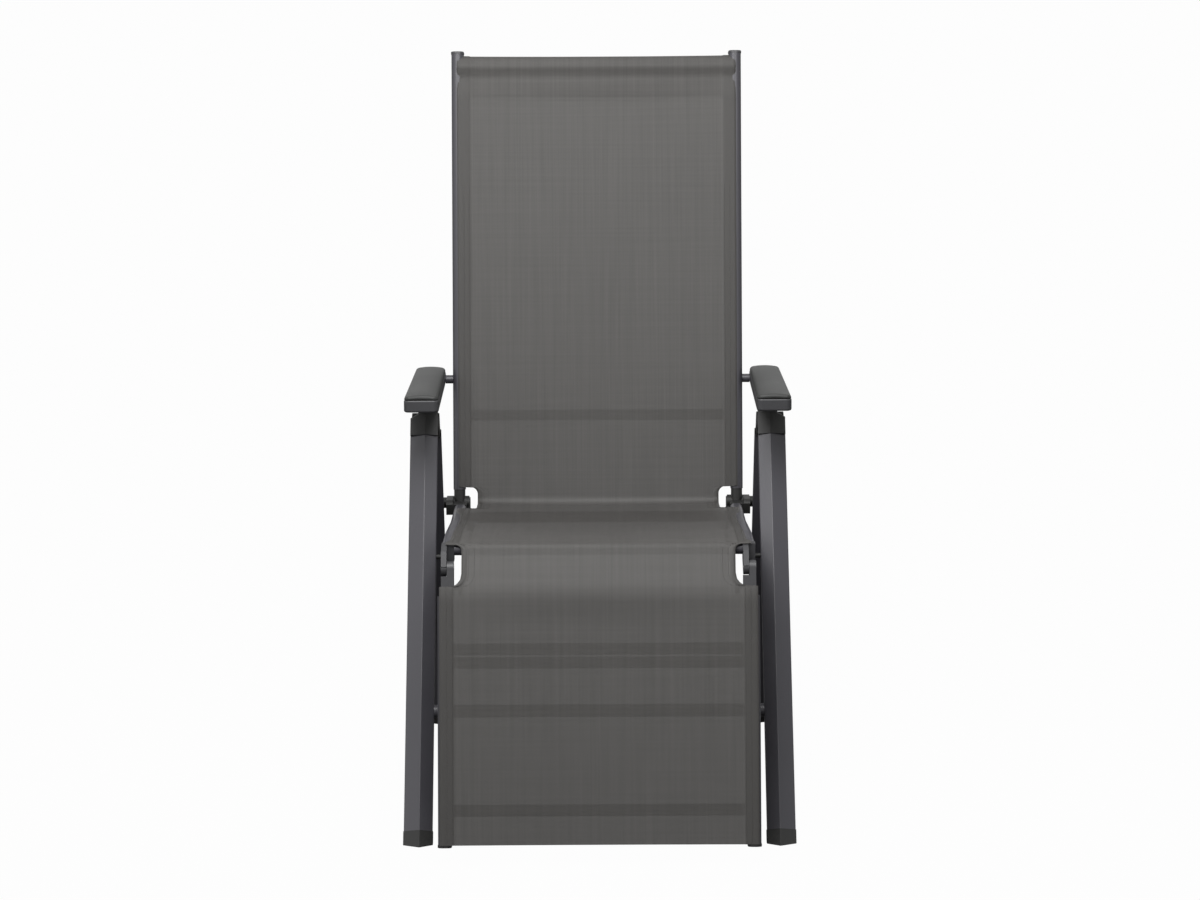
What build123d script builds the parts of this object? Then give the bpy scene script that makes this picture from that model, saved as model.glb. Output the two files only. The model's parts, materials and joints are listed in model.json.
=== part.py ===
"""Reclining garden armchair with a footrest: folding tube frame and a sling of woven mesh.

All sizes are in millimetres. X runs across the chair, Y from front to back, Z up.
Left and right are as seen from the front, so the left side has negative X.
The side view is drawn first, with the floor midway between the feet as its zero. At the
end everything moves along Y, so that the origin lies on the floor under the middle.
"""
from build123d import *
from math import asin, atan2, cos, degrees, radians, sin, hypot
import os

# Widths across the chair
back_half_width = 240.0
tube_width = 20.0
leg_gap = 16.0
leg_width = 44.0
rear_leg_inset = 3.0
rail_set_in = 3.0
rail_width = 19.0
footrest_stand_out = 2.7
arm_overhang = 2.5
arm_front_width = 54.5
arm_rear_width = 50.0

# Places in the side view
back_pivot_depth = 227.0
back_pivot_height = 405.0
back_length = 748.0
back_lean = 13.1
footrest_pivot_depth = -268.0
footrest_pivot_height = 429.0
footrest_length = 419.0
footrest_lean = 15.2
leg_pivot_depth = 91.0
leg_pivot_height = 569.0
front_foot_depth = -296.0
rear_foot_depth = 296.0
seat_bolt_depth = -44.0
seat_bolt_drop = 38.5
arm_slope = 4.2

# Tubes and bars
tube_depth = 30.0
tube_corner = 8.0
tube_wall = 1.8
footrest_tube_depth = 26.0
leg_depth = 24.0
leg_side_flat = 9.0
leg_back_flat = 20.0
leg_ridge_share = 0.55
leg_corner = 2.0
leg_wall = 1.6
leg_line_offset = 13.5
bar_radius = 9.0
leg_bar_radius = 10.0
front_bar_share = 0.696
rear_bar_share = 0.796
back_bar_reach = 145.0
back_top_bar_drop = 17.6
footrest_upper_bar_reach = 122.0
footrest_lower_bar_reach = 364.0

# Leg heads, feet and the cradles that hold the seat's rear pins
head_start = 20.0
head_end = 26.0
knuckle_radius = 19.0
leg_pin_radius = 5.0
head_margin = 2.0
shield_rise = 26.0
shield_proud = 1.2
shield_edge = 2.6
shield_clearance = 0.8
shield_corner_cut = 12.0
post_width = 9.6
post_radius = 9.0
post_top = 50.0
foot_height = 16.0
foot_margin = 0.8
cradle_radius = 15.0
cradle_thickness = 10.0
cradle_side_gap = 5.0
cradle_open_angle = 68.0

# Seat rails and their end pieces
rail_height = 26.0
rail_corner = 6.0
rail_wall = 1.8
rail_rear_depth = 190.0
rail_rear_height = 398.0
rail_dip_depth = 40.0
rail_dip_height = 411.0
rail_rise_depth = -140.0
rail_rise_height = 440.0
rail_front_depth = -236.0
rail_front_height = 448.0
rail_bend_radius = 220.0
seat_rear_bar_depth = 140.0
seat_front_bar_depth = -243.0
lug_thickness = 6.0
lug_radius = 10.0
seat_bolt_radius = 4.0
knuckle_body_length = 14.0
hinge_radius = 11.0
hinge_clearance = 0.8
tongue_share = 0.45
tongue_gap = 0.5
footrest_pin_radius = 3.5
bracket_length = 42.0

# Rear hinge between seat and back
barrel_radius = 11.4
barrel_length = 26.0
ear_inner_gap = 0.4
ear_thickness = 10.6
back_pin_radius = 4.0
stub_radius = 9.0
stub_length = 18.0
stub_clearance = 0.4
insert_length = 22.0
insert_margin = 1.0
socket_length = 23.0
socket_height = 25.0
ear_rise = 8.0
rod_lug_reach = 37.5
rod_lug_thickness = 5.0
rod_lug_radius = 9.0

# Push rods that lift the footrest as the back goes down
rod_radius = 2.5
rod_pin_radius = 3.0
rod_eye_radius = 7.0
rod_thickness = 6.0
rod_side_gap = 0.6
peg_reach = 30.0
peg_radius = 3.5
fork_clearance = 2.2
fork_wall = 3.0
fork_arm = 8.0

# Armrests
arm_rear_reach = 14.0
arm_front_reach = 330.0
arm_body_height = 19.5
pad_height = 5.5
pad_inset = 0.6
pad_edge = 2.4
arm_corner = 9.0
arm_bottom_edge = 3.0
arm_axis_height = 7.0
slot_width = 24.0
slot_margin = 8.0
rack_clearance = 1.0
slot_depth = 13.0
slot_front_margin = 5.0
slot_rear_reach = 150.0
tooth_height = 4.1
tooth_spacing = 24.0
tooth_length = 9.0
arm_bolt_radius = 4.0
arm_collar_radius = 7.0
arm_bolt_bite = 30.0

# Sling and caps
sling_thickness = 1.5
sling_gap = 0.3
back_sling_edge = 8.0
seat_sling_edge = 6.0
footrest_sling_edge = 3.0
sling_notch = 29.0
footrest_sling_notch = 31.0
back_notch_height = 28.0
back_sling_start = 12.0
footrest_notch_height = 36.0
footrest_sling_start = 10.0
seat_notch_length = 34.0
back_hem_drop = 7.0
footrest_hem_drop = 4.0
cap_height = 4.0
cap_edge = 1.2
cap_margin = 0.6
fit = 0.05
touch = 0.3
overrun = 60.0

back_pivot = (back_pivot_depth, back_pivot_height)
footrest_pivot = (footrest_pivot_depth, footrest_pivot_height)
leg_pivot = (leg_pivot_depth, leg_pivot_height)
up_back = (sin(radians(back_lean)), cos(radians(back_lean)))
down_footrest = (-sin(radians(footrest_lean)), -cos(radians(footrest_lean)))
leg_half_width = back_half_width + leg_gap + leg_width
rail_outer = back_half_width - rail_set_in
footrest_half_width = back_half_width + footrest_stand_out
arm_outer = leg_half_width + arm_overhang
barrel_inner = back_half_width - barrel_length
slot_inner = leg_half_width - leg_width / 2 - slot_margin
rod_lug = (back_pivot_depth - rod_lug_reach * up_back[0],
           back_pivot_height - rod_lug_reach * up_back[1])
peg = (footrest_pivot_depth + peg_reach * down_footrest[0],
       footrest_pivot_height + peg_reach * down_footrest[1])
rail_inner = rail_outer - rail_width
lug_outer = rail_inner - rod_side_gap
rod_outer = lug_outer - rod_lug_thickness - rod_side_gap
rod_inner = rod_outer - rod_thickness
teeth_above_axis = slot_depth - tooth_height - arm_axis_height
sides = {"left": -1, "right": 1}


def step(start, direction, reach, across=0.0):
    """A side view point, reach along a direction and across to its front."""
    return (start[0] + direction[0] * reach + direction[1] * across,
            start[1] + direction[1] * reach - direction[0] * across)


def crossing(start, along, other_start, other_along):
    """Where two side view lines meet."""
    gap = (other_start[0] - start[0], other_start[1] - start[1])
    turn = along[0] * other_along[1] - along[1] * other_along[0]
    return step(start, along, (gap[0] * other_along[1] - gap[1] * other_along[0]) / turn)


arm_rear = (cos(radians(arm_slope)), -sin(radians(arm_slope)))
over_post = (leg_pivot_depth, leg_pivot_height + post_top + rack_clearance - teeth_above_axis)
arm_pivot = crossing(back_pivot, up_back, over_post, arm_rear)


def side_plane(x):
    return Plane(origin=(x, 0, 0), x_dir=(0, 1, 0), z_dir=(1, 0, 0))


def slab(face, x_from, x_to):
    """A side view face, given its thickness across the chair."""
    return extrude(side_plane(min(x_from, x_to)) * face, amount=abs(x_to - x_from))


def pin(centre, radius, x_from, x_to):
    return slab(Pos(*centre) * Circle(radius), x_from, x_to)


def strap(start, end, radius):
    """A flat bar with round ends, as a side view face."""
    reach = hypot(end[0] - start[0], end[1] - start[1])
    turn = degrees(atan2(end[1] - start[1], end[0] - start[0]))
    middle = ((start[0] + end[0]) / 2, (start[1] + end[1]) / 2)
    bar = Pos(*middle) * Rot(0, 0, turn) * Rectangle(reach, 2 * radius)
    return bar + Pos(*start) * Circle(radius) + Pos(*end) * Circle(radius)


def outline(points):
    return make_face(Polyline(*points, close=True))


def across_plane(x, point, direction):
    """A plane square to a side view direction; its local y points to the front."""
    return Plane(origin=(x, point[0], point[1]), x_dir=(1, 0, 0),
                 z_dir=(0, direction[0], direction[1]))


def round_bar(centre, radius, half_length):
    return pin(centre, radius, -half_length, half_length)


def both_sides(name, left_solid):
    """The left piece and its mirror image, under the names of the two sides."""
    return {name + "_left": left_solid, name + "_right": mirror(left_solid, about=Plane.YZ)}


# Legs: each pair hangs from one pivot, a little off its line, so that it folds flat

def leg_line(foot_depth):
    """Where a leg's centre line starts beside the pivot, its direction and its length."""
    to_foot = (foot_depth - leg_pivot[0], -leg_pivot[1])
    reach = hypot(*to_foot)
    side = 1 if foot_depth < leg_pivot[0] else -1
    turn = asin(leg_line_offset / reach) * side
    length = (reach ** 2 - leg_line_offset ** 2) ** 0.5
    unit = (to_foot[0] / reach, to_foot[1] / reach)
    direction = (unit[0] * cos(turn) - unit[1] * sin(turn),
                 unit[0] * sin(turn) + unit[1] * cos(turn))
    start = (foot_depth - direction[0] * length, -direction[1] * length)
    return start, direction, length


def leg_profile(grow=0.0):
    """The leg's cross-section: a ridge at the front, flat sides and a flat back."""
    half = leg_width / 2 + grow
    deep = leg_depth / 2 + grow
    ridge = half * (2 * leg_ridge_share - 1)
    face = outline([(-half, leg_side_flat / 2), (ridge, deep), (half, leg_side_flat / 2),
                    (half, -leg_side_flat / 2), (leg_back_flat / 2, -deep),
                    (-leg_back_flat / 2, -deep), (-half, -leg_side_flat / 2)])
    return fillet(face.vertices(), leg_corner)


def leg_centre(inset):
    return -(leg_half_width - leg_width / 2 - inset)


def leg_stretch(foot_depth, inset, start_reach, end_reach, face):
    start, direction, _ = leg_line(foot_depth)
    plane = across_plane(leg_centre(inset), step(start, direction, start_reach), direction)
    return extrude(plane * face, amount=end_reach - start_reach)


def foot_start(foot_depth):
    start, direction, length = leg_line(foot_depth)
    return length - foot_height / -direction[1]


def leg_tube(foot_depth, inset):
    ring = leg_profile() - offset(leg_profile(), amount=-leg_wall)
    return leg_stretch(foot_depth, inset, head_end, foot_start(foot_depth), ring)


def foot_cap(foot_depth, inset):
    """A plastic shoe on the leg's end, cut flat where it stands on the floor."""
    _, _, length = leg_line(foot_depth)
    cap = leg_stretch(foot_depth, inset, foot_start(foot_depth), length + overrun, leg_profile(foot_margin))
    floor = Box(2 * overrun, 4 * overrun, 2 * overrun, align=(Align.CENTER, Align.CENTER, Align.MAX))
    return cap - Pos(leg_centre(inset), foot_depth, 0) * floor


def knuckle(foot_depth, x_from, x_to):
    """The half of a leg head that turns on the leg pivot."""
    start, direction, _ = leg_line(foot_depth)
    side = 1 if foot_depth < leg_pivot[0] else -1
    near = (leg_line_offset - leg_depth / 2) * side
    far = (leg_line_offset + leg_depth / 2 - head_margin) * side
    arm = outline([step(leg_pivot, direction, 0, near), step(leg_pivot, direction, head_end, near),
                   step(leg_pivot, direction, head_end, far),
                   step(leg_pivot, direction, 0, knuckle_radius * side)])
    body = slab(arm, x_from, x_to) + pin(leg_pivot, knuckle_radius, x_from, x_to)
    return body - pin(leg_pivot, leg_pin_radius + fit, x_from, x_to)


def leg_head(foot_depth, inset, x_from, x_to):
    block = leg_stretch(foot_depth, inset, head_start, head_end, leg_profile())
    return block + knuckle(foot_depth, x_from, x_to)


def head_shield():
    """The front wall of the head, over both knuckles, with its outer top corner cut away."""
    start, direction, _ = leg_line(front_foot_depth)
    half = leg_width / 2
    back = knuckle_radius + shield_clearance - leg_line_offset
    face = outline([(-half, back), (half, back), (half, back + shield_edge),
                    (half * (2 * leg_ridge_share - 1), leg_depth / 2 + shield_proud),
                    (-half, back + shield_edge)])
    plane = across_plane(leg_centre(0), step(start, direction, -shield_rise), direction)
    wall = extrude(plane * face, amount=head_end + shield_rise)
    top = leg_pivot_height + shield_rise + leg_depth
    corner_top = leg_pivot_height + shield_rise
    outer = -(leg_half_width + touch)
    corner = outline([(outer, corner_top - shield_corner_cut), (leg_centre(0), corner_top),
                      (leg_centre(0), top), (outer, top)])
    front = Plane(origin=(0, 0, 0), x_dir=(1, 0, 0), z_dir=(0, -1, 0))
    return wall - extrude(front * corner, amount=leg_half_width, both=True)


def front_head():
    """The head on the front leg, with the post that the armrest's rack rests over."""
    middle = leg_centre(0)
    outer = -(leg_half_width - head_margin)
    head = leg_head(front_foot_depth, 0, outer, middle - touch)
    post_face = strap(leg_pivot, (leg_pivot[0], leg_pivot[1] + post_top - post_radius), post_radius)
    post = slab(post_face, middle - touch - post_width, middle - touch)
    return head + (post - pin(leg_pivot, leg_pin_radius + fit, outer, middle)) + head_shield()


def rear_head():
    middle = leg_centre(0)
    inner = leg_centre(rear_leg_inset) + leg_width / 2 - head_margin
    return leg_head(rear_foot_depth, rear_leg_inset, middle + touch, inner)


def cradle():
    """An arm behind the rear leg with an open hook, in which the seat's rear pin lies."""
    start, direction, _ = leg_line(rear_foot_depth)
    reach = (back_pivot[0] - start[0]) * direction[0] + (back_pivot[1] - start[1]) * direction[1]
    root = step(start, direction, reach)
    inner = leg_centre(rear_leg_inset) + leg_width / 2 - cradle_side_gap
    opening = (cos(radians(cradle_open_angle)), sin(radians(cradle_open_angle)))
    mouth = strap(back_pivot, step(back_pivot, opening, 2 * cradle_radius), stub_radius + stub_clearance)
    arm = slab(strap(root, back_pivot, cradle_radius) - mouth, inner - cradle_thickness, inner)
    solid_leg = leg_stretch(rear_foot_depth, rear_leg_inset, 0, reach + overrun * 2, leg_profile())
    arm = arm - solid_leg
    return max(arm.solids(), key=lambda s: s.center().Y)


def bar_point(foot_depth, share):
    start, direction, length = leg_line(foot_depth)
    return step(start, direction, length * share)


def leg_bar(foot_depth, inset, share):
    inner = leg_half_width - inset - leg_width
    return round_bar(bar_point(foot_depth, share), leg_bar_radius, inner)


def legs():
    nodes = {}
    nodes.update(both_sides("front_leg", leg_tube(front_foot_depth, 0)))
    nodes.update(both_sides("front_foot", foot_cap(front_foot_depth, 0)))
    nodes.update(both_sides("front_leg_head", front_head()))
    nodes["front_leg_crossbar"] = leg_bar(front_foot_depth, 0, front_bar_share)
    nodes.update(both_sides("rear_leg", leg_tube(rear_foot_depth, rear_leg_inset)))
    nodes.update(both_sides("rear_foot", foot_cap(rear_foot_depth, rear_leg_inset)))
    nodes.update(both_sides("rear_leg_head", rear_head()))
    nodes.update(both_sides("seat_cradle", cradle()))
    nodes["rear_leg_crossbar"] = leg_bar(rear_foot_depth, rear_leg_inset, rear_bar_share)
    pin_from = -(leg_half_width - head_margin)
    pin_to = leg_centre(rear_leg_inset) + leg_width / 2 - head_margin
    nodes["leg_pivot_pins"] = mirrored_pair(pin(leg_pivot, leg_pin_radius, pin_from, pin_to))
    bolt = pin(seat_bolt, seat_bolt_radius, -(leg_half_width - leg_width), -(rail_outer - lug_thickness))
    nodes["seat_bolts"] = mirrored_pair(bolt)
    return nodes


def mirrored_pair(left_solid):
    """Two equal fasteners, one on each side, kept as one node."""
    return Compound([left_solid, mirror(left_solid, about=Plane.YZ)])


# Seat frame

def rail_points(lift=0.0):
    return [(rail_rear_depth, rail_rear_height + lift), (rail_dip_depth, rail_dip_height + lift),
            (rail_rise_depth, rail_rise_height + lift), (rail_front_depth, rail_front_height + lift)]


def rail_steepness():
    """How much longer the steepest stretch of rail is than its level run."""
    points = rail_points()
    return max(hypot(y1 - y0, z1 - z0) / abs(y1 - y0) for (y0, z0), (y1, z1) in zip(points, points[1:]))


def rail_path(lift=0.0):
    return FilletPolyline(*rail_points(lift), radius=rail_bend_radius)


def rail_height_at(depth):
    points = rail_points()
    for (y0, z0), (y1, z1) in zip(points, points[1:]):
        if y1 <= depth <= y0:
            return z0 + (z1 - z0) * (y0 - depth) / (y0 - y1)
    return rail_rear_height


seat_bolt = (seat_bolt_depth, rail_height_at(seat_bolt_depth) - seat_bolt_drop)


def rail_section():
    return RectangleRounded(rail_width, rail_height, rail_corner)


def along_rail(section):
    """A section swept along the left rail's side view line."""
    path = side_plane(-(rail_outer - rail_width / 2)) * rail_path()
    return sweep(Plane(origin=path @ 0, x_dir=(1, 0, 0), z_dir=path % 0) * section, path=path)


def seat_rail():
    return along_rail(rail_section() - offset(rail_section(), amount=-rail_wall))


def seat_lug():
    """The plate under the rail that turns on the front leg's bolt."""
    under = rail_height_at(seat_bolt_depth) - rail_height / 2 + rail_corner
    half = lug_radius + lug_thickness
    plate = outline([(seat_bolt[0] - half, under), (seat_bolt[0] + half, under),
                     (seat_bolt[0] + lug_radius, seat_bolt[1]), (seat_bolt[0] - lug_radius, seat_bolt[1])])
    face = plate + Pos(*seat_bolt) * Circle(lug_radius) - Pos(*seat_bolt) * Circle(seat_bolt_radius + fit)
    lug = slab(face, -rail_outer, -(rail_outer - lug_thickness))
    return lug - along_rail(rail_section())


def rear_hinge_ear():
    """The plastic end of a seat rail: a socket for the rail and an ear around the back's pin."""
    ear_from = -(back_half_width + ear_inner_gap + ear_thickness)
    ear_to = -(back_half_width + ear_inner_gap)
    low = rail_rear_height - socket_height / 2
    foot = (rail_rear_depth + barrel_radius, low + ear_rise + barrel_radius)
    ear = slab(strap(foot, back_pivot, barrel_radius), ear_from, ear_to)
    block = outline([(rail_rear_depth, low), (rail_rear_depth + socket_length, low),
                     (rail_rear_depth + socket_length, low + socket_height),
                     (rail_rear_depth, low + socket_height)])
    bridge = outline([(rail_rear_depth, low + ear_rise), (rail_rear_depth + socket_length, low + ear_rise),
                      (rail_rear_depth + socket_length, low + socket_height),
                      (rail_rear_depth, low + socket_height)])
    socket = slab(block, -rail_outer, -rail_inner) + slab(bridge, ear_from, -rail_outer)
    body = ear + socket - along_rail(rail_section())
    return body - pin(back_pivot, back_pin_radius + fit, ear_from, ear_to)


def back_pivot_pin():
    """A stepped pin: thin through ear and barrel, thick where it lies in the cradle."""
    shoulder = -(back_half_width + ear_inner_gap + ear_thickness)
    thick = pin(back_pivot, stub_radius, shoulder - stub_length, shoulder - touch)
    return thick + pin(back_pivot, back_pin_radius, shoulder - touch, -barrel_inner)


def tongue_sides(side):
    """The two halves of a footrest hinge, across the chair; both sides are the same casting."""
    low = -rail_outer if side < 0 else rail_inner
    parting = low + rail_width * tongue_share
    return low, parting - tongue_gap / 2, parting + tongue_gap / 2, low + rail_width


def front_knuckle(side):
    """The cast end of a seat rail: full width at the rail, then a tongue around the hinge pin."""
    low, tongue_end, _, high = tongue_sides(side)
    top = rail_front_height + rail_height / 2
    bottom = rail_front_height - rail_height / 2
    fore = rail_front_depth - knuckle_body_length
    body = outline([(rail_front_depth, bottom), (rail_front_depth, top), (fore, top), (fore, bottom)])
    nose = (footrest_pivot[0] - hinge_radius, footrest_pivot[1] + hinge_radius / 2)
    cheek = outline([(rail_front_depth, bottom), (rail_front_depth, top), (fore, top),
                     (footrest_pivot[0], top - hinge_radius / 2), nose,
                     (footrest_pivot[0], footrest_pivot[1] - hinge_radius)])
    tongue = slab(cheek + Pos(*footrest_pivot) * Circle(hinge_radius), low, tongue_end)
    rail = along_rail(rail_section())
    rail = rail if side < 0 else mirror(rail, about=Plane.YZ)
    return slab(body, low, high) + tongue - rail - pin(footrest_pivot, footrest_pin_radius + fit, low, high)


def sling_ribbon(low_edge, high_edge, half_width):
    """A thin sheet between two side view lines that run from back to front."""
    ends = [Line(low_edge @ 0, high_edge @ 0), Line(low_edge @ 1, high_edge @ 1)]
    return slab(make_face([*low_edge.edges(), ends[1], *high_edge.edges(), ends[0]]),
                -half_width, half_width)


def seat_sling():
    low = rail_path((rail_height / 2 + sling_gap) * rail_steepness())
    high = rail_path((rail_height / 2 + sling_gap + sling_thickness) * rail_steepness())
    half = rail_outer - seat_sling_edge
    sheet = sling_ribbon(low, high, half)
    for side in sides.values():
        place = side * (half + overrun - (sling_notch + overrun) / 2)
        cut = Box(sling_notch + overrun, seat_notch_length, 2 * overrun)
        sheet -= Pos(place, rail_rear_depth, rail_rear_height) * cut
    return sheet


def seat():
    nodes = {}
    nodes.update(both_sides("seat_rail", seat_rail()))
    nodes.update(both_sides("seat_lug", seat_lug()))
    nodes.update(both_sides("rear_hinge_ear", rear_hinge_ear()))
    nodes["back_pivot_pins"] = mirrored_pair(back_pivot_pin())
    for name, side in sides.items():
        nodes["front_hinge_knuckle_" + name] = front_knuckle(side)
    rear_bar = (seat_rear_bar_depth, rail_height_at(seat_rear_bar_depth))
    nodes["seat_rear_crossbar"] = round_bar(rear_bar, bar_radius, rail_inner)
    front_bar = (seat_front_bar_depth, rail_front_height + rail_height / 2 - bar_radius)
    nodes["seat_front_crossbar"] = round_bar(front_bar, bar_radius, rail_inner)
    nodes["seat_sling"] = seat_sling()
    hinge_pin = pin(footrest_pivot, footrest_pin_radius, -(rail_outer + tongue_gap), -(rail_inner - tongue_gap))
    nodes["footrest_pins"] = mirrored_pair(hinge_pin)
    return nodes


# Backrest

def back_point(reach, forward=0.0):
    return step(back_pivot, up_back, reach, -forward)


def tube(point, direction, length, centre, depth, wall):
    outer = RectangleRounded(tube_width, depth, tube_corner)
    ring = outer - offset(outer, amount=-wall)
    return extrude(across_plane(centre, point, direction) * ring, amount=length)


def end_cap(point, direction, centre, depth):
    face = RectangleRounded(tube_width + 2 * cap_margin, depth + 2 * cap_margin, tube_corner)
    cap = extrude(across_plane(centre, point, direction) * face, amount=cap_height)
    outward = Axis((centre, point[0], point[1]), (0, direction[0], direction[1]))
    return fillet(cap.faces().sort_by(outward)[-1].edges(), cap_edge)


def back_insert():
    """The plastic end of a back tube: a plug, the barrel on the pin and the rod's lug."""
    centre = -(back_half_width - tube_width / 2)
    plug = RectangleRounded(tube_width - 2 * insert_margin, tube_depth - 2 * insert_margin,
                            tube_corner - insert_margin)
    stem = extrude(across_plane(centre, back_pivot, up_back) * plug, amount=insert_length)
    barrel = pin(back_pivot, barrel_radius, -back_half_width, -barrel_inner)
    lug_inner = lug_outer - rod_lug_thickness
    lug = slab(strap(back_pivot, rod_lug, rod_lug_radius), -lug_outer, -lug_inner)
    rod_pin = pin(rod_lug, rod_pin_radius, -lug_inner, -(rod_inner - rod_side_gap))
    return stem + barrel + lug + rod_pin - pin(back_pivot, back_pin_radius + fit, -back_half_width, -barrel_inner)


def panel(point, direction, reach_from, reach_to, offset_front, half_width, notch_half, notch_to):
    """A flat sling panel in front of two tubes, narrower up to notch_to."""
    plane = across_plane(0, step(point, direction, 0), direction)
    middle = offset_front + sling_thickness / 2
    wide = Rectangle(2 * half_width, sling_thickness)
    slim = Rectangle(2 * notch_half, sling_thickness)
    upper = extrude(plane.offset(notch_to) * (Pos(0, middle) * wide), amount=reach_to - notch_to)
    lower = extrude(plane.offset(reach_from) * (Pos(0, middle) * slim), amount=notch_to - reach_from)
    return upper + lower


def backrest():
    nodes = {}
    centre = -(back_half_width - tube_width / 2)
    tube_length = back_length - insert_length - cap_height
    nodes.update(both_sides("back_tube", tube(back_point(insert_length), up_back, tube_length, centre,
                                              tube_depth, tube_wall)))
    nodes.update(both_sides("back_tube_cap", end_cap(back_point(back_length - cap_height), up_back, centre,
                                                     tube_depth)))
    nodes.update(both_sides("back_hinge_insert", back_insert()))
    inner = back_half_width - tube_width
    nodes["back_lower_crossbar"] = round_bar(back_point(back_bar_reach), bar_radius, inner)
    nodes["back_top_crossbar"] = round_bar(back_point(back_length - back_top_bar_drop), bar_radius, inner)
    nodes["back_sling"] = back_sling()
    collar_to = -(arm_outer - arm_rear_width - touch)
    bolt = (pin(arm_pivot, arm_collar_radius, collar_to, -back_half_width)
            + pin(arm_pivot, arm_bolt_radius, collar_to - arm_bolt_bite, collar_to))
    nodes["arm_bolts"] = mirrored_pair(bolt)
    return nodes


def back_sling():
    half = back_half_width - back_sling_edge
    front = -(tube_depth / 2 + sling_gap + sling_thickness)
    return panel(back_pivot, up_back, back_sling_start, back_length - back_hem_drop,
                 front, half, half - sling_notch, back_notch_height)


# Footrest

def footrest_point(reach):
    return step(footrest_pivot, down_footrest, reach)


def footrest_bracket(side):
    """The cast upper end of a footrest tube: a tongue on the pin and the rod's peg."""
    low, _, tongue_start, high = tongue_sides(side)
    end = footrest_point(bracket_length)
    strip_start = footrest_point(hinge_radius + hinge_clearance)
    middle = ((strip_start[0] + end[0]) / 2, (strip_start[1] + end[1]) / 2)
    length = bracket_length - hinge_radius - hinge_clearance
    strip = Pos(*middle) * Rot(0, 0, -footrest_lean) * Rectangle(2 * hinge_radius, length)
    strip -= Pos(*footrest_pivot) * Circle(hinge_radius + hinge_clearance)
    half_way = footrest_point(bracket_length / 2)
    shank = Pos(*half_way) * Rot(0, 0, -footrest_lean) * Rectangle(2 * hinge_radius, bracket_length)
    tongue = shank + Pos(*footrest_pivot) * Circle(hinge_radius)
    body = slab(strip, low, high) + slab(tongue, tongue_start, high)
    inner = -rail_inner if side < 0 else rail_inner
    peg_end = side * (rod_inner - rod_side_gap)
    body += pin(peg, peg_radius, inner, peg_end)
    return body - pin(footrest_pivot, footrest_pin_radius + fit, low, high)


def footrest():
    nodes = {}
    centre = -(footrest_half_width - tube_width / 2)
    length = footrest_length - bracket_length - cap_height
    for name, side in sides.items():
        nodes["footrest_bracket_" + name] = footrest_bracket(side)
    nodes.update(both_sides("footrest_tube", tube(footrest_point(bracket_length), down_footrest, length,
                                                  centre, footrest_tube_depth, tube_wall)))
    nodes.update(both_sides("footrest_tube_cap", end_cap(footrest_point(footrest_length - cap_height),
                                                         down_footrest, centre, footrest_tube_depth)))
    inner = footrest_half_width - tube_width
    nodes["footrest_upper_crossbar"] = round_bar(footrest_point(footrest_upper_bar_reach), bar_radius, inner)
    nodes["footrest_lower_crossbar"] = round_bar(footrest_point(footrest_lower_bar_reach), bar_radius, inner)
    half = footrest_half_width - footrest_sling_edge
    slim = rail_outer - footrest_sling_notch
    nodes["footrest_sling"] = panel(footrest_pivot, down_footrest, footrest_sling_start,
                                    footrest_length - footrest_hem_drop, footrest_tube_depth / 2 + sling_gap,
                                    half, slim, footrest_notch_height)
    return nodes


# Push rods

def push_rod():
    """A thin rod with an eye on the back's lug and an open fork behind the footrest's peg."""
    outer, inner = -rod_outer, -rod_inner
    reach = hypot(peg[0] - rod_lug[0], peg[1] - rod_lug[1])
    direction = ((peg[0] - rod_lug[0]) / reach, (peg[1] - rod_lug[1]) / reach)
    mouth = peg_radius + fork_clearance
    eye = pin(rod_lug, rod_eye_radius, outer, inner)
    fork_face = strap(step(peg, direction, -mouth), step(peg, direction, fork_arm), mouth + fork_wall)
    fork_face -= strap(peg, step(peg, direction, fork_arm + overrun), mouth)
    turn = degrees(atan2(direction[1], direction[0]))
    fork_face -= Pos(*step(peg, direction, fork_arm + overrun / 2)) * Rot(0, 0, turn) * Rectangle(overrun, overrun)
    fork = slab(fork_face, outer, inner)
    middle = (outer + inner) / 2
    shaft_start = step(rod_lug, direction, rod_eye_radius - rod_radius)
    shaft_length = reach - rod_eye_radius - mouth - fork_wall + 2 * rod_radius
    shaft = extrude(across_plane(middle, shaft_start, direction) * Circle(rod_radius), amount=shaft_length)
    return eye + fork + shaft - pin(rod_lug, rod_pin_radius + fit, outer, inner)


# Armrests, drawn flat in their own plane and tilted about the bolt

def arm_plane():
    slope = radians(arm_slope)
    return Plane(origin=(0, arm_pivot[0], arm_pivot[1]), x_dir=(1, 0, 0), z_dir=(0, sin(slope), cos(slope)))


def arm_plan(inset=0.0):
    """The armrest from above: straight outside, narrower at the rear on the inside."""
    front = -arm_front_reach + inset
    rear = arm_rear_reach - inset
    outer = -arm_outer + inset
    face = outline([(outer, front), (-arm_outer + arm_front_width - inset, front),
                    (-arm_outer + arm_rear_width - inset, rear), (outer, rear)])
    return fillet(face.vertices(), arm_corner)


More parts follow.
